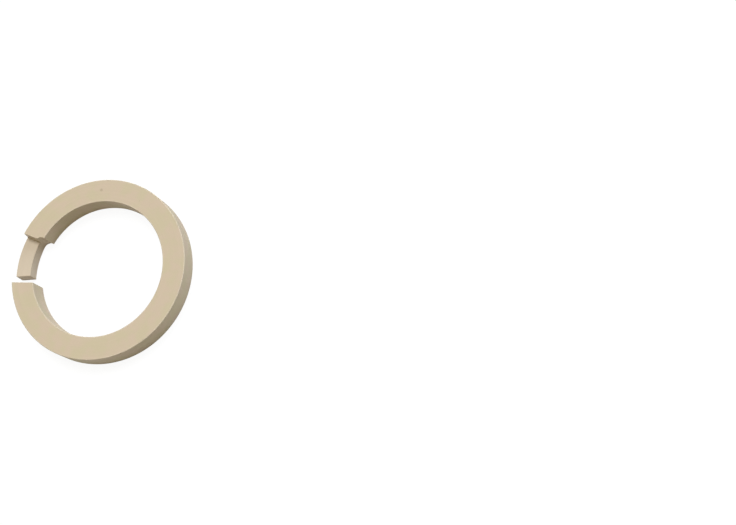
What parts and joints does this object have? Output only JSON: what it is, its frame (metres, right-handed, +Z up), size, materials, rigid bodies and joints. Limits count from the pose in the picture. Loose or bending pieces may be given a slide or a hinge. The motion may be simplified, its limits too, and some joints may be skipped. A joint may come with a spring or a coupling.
{
  "type": "piston ring",
  "caption": "Flat split piston ring of pale plastic with a square section and a gas-tight step joint, whose tongue slides into a recess under the lip of the other end.",
  "frame": {"origin": "on the ring's axis, level with the lower side face that it lies on", "axes": "+Z up along the ring's axis; the joint is centred on the -X side"},
  "size_m": [0.08, 0.08, 0.0096],
  "materials": {
    "ring_plastic": "matte, as turned, natural beige"
  },
  "bodies": {
    "root": {"piston_ring": "ring_plastic"}
  },
  "joints": []
}
